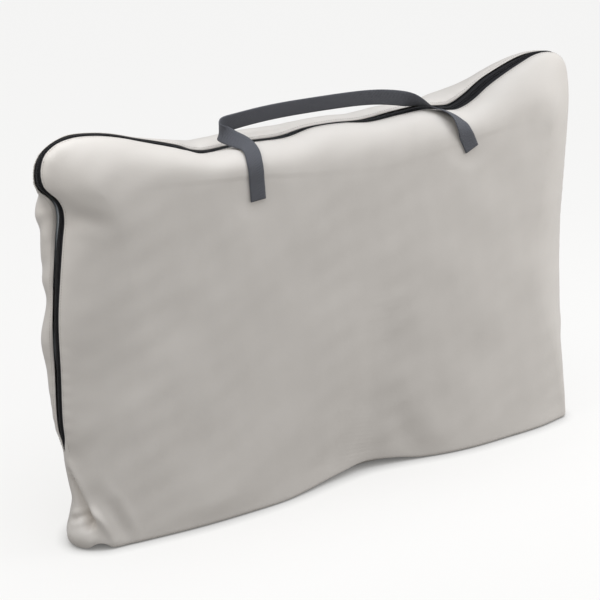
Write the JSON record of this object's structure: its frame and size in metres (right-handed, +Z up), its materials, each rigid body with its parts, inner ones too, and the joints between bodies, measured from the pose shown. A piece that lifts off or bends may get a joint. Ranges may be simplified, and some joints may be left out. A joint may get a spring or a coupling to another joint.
{
  "type": "camp pillow carry bag",
  "caption": "Flat zipped fabric carry bag standing on its base, packed with a camp pillow, with a zip over the top and down both sides and two webbing carry handles.",
  "frame": {"origin": "middle of the base, on the surface that the bag stands on, in the plane of the zip", "axes": "+X along the bag's width, towards the closed end of the zip; -Y is the front, with the handle that stands up; +Z up"},
  "size_m": [0.9176, 0.1515, 0.6108],
  "materials": {
    "coated_fabric": "plain-woven polyester with a soft matt coating",
    "webbing": "dark grey woven webbing, matt",
    "zip_tape": "black woven zip tape",
    "seam_tape": "black woven seam tape",
    "zip_coil": "black coil, slightly glossy",
    "zip_metal": "dark plated zinc",
    "thread": "grey sewing thread",
    "pillow_cloth": "soft brushed cloth, off-white",
    "pillow_fibre": "loose polyester fibre, white"
  },
  "bodies": {
    "bag": {"front_panel": "coated_fabric", "back_panel": "coated_fabric", "bottom_panel": "coated_fabric", "bottom_seam_binding_front": "seam_tape", "bottom_seam_binding_back": "seam_tape", "side_seam_tape_left": "seam_tape", "side_seam_tape_right": "seam_tape", "zip_tape_front": "zip_tape", "zip_tape_back": "zip_tape", "zip_coil_front": "zip_coil", "zip_coil_back": "zip_coil", "zip_stop_front": "zip_metal", "zip_stop_back": "zip_metal", "zip_bottom_stop": "zip_metal", "pillow_cover": "pillow_cloth", "pillow_filling": "pillow_fibre", "handle_end_front_left": "webbing", "handle_patch_front_left": "coated_fabric", "handle_stitch_front_left": "thread", "handle_end_front_right": "webbing", "handle_patch_front_right": "coated_fabric", "handle_stitch_front_right": "thread", "handle_end_back_left": "webbing", "handle_patch_back_left": "coated_fabric", "handle_stitch_back_left": "thread", "handle_end_back_right": "webbing", "handle_patch_back_right": "coated_fabric", "handle_stitch_back_right": "thread"},
    "slider": {"zip_slider": "zip_metal"},
    "pull": {"zip_pull": "zip_metal"},
    "front_handle": {"front_handle": "webbing"},
    "back_handle": {"back_handle": "webbing"}
  },
  "joints": [
    {"name": "slider_slide", "type": "slide", "parent": "bag", "child": "slider", "axis": [0, 0, 1], "range_m": [0, 0.27]},
    {"name": "pull_hinge", "type": "hinge", "parent": "slider", "child": "pull", "pos_m": [0.4483, 0, 0.1529], "axis": [0, -1, 0], "range_deg": [0, 165]},
    {"name": "front_handle_hinge", "type": "hinge", "parent": "bag", "child": "front_handle", "pos_m": [0.036, -0.06, 0.5093], "axis": [1, 0, 0], "range_deg": [0, 170]},
    {"name": "back_handle_hinge", "type": "hinge", "parent": "bag", "child": "back_handle", "pos_m": [0, 0.06275, 0.5261], "axis": [1, 0, 0], "range_deg": [0, 165]}
  ]
}
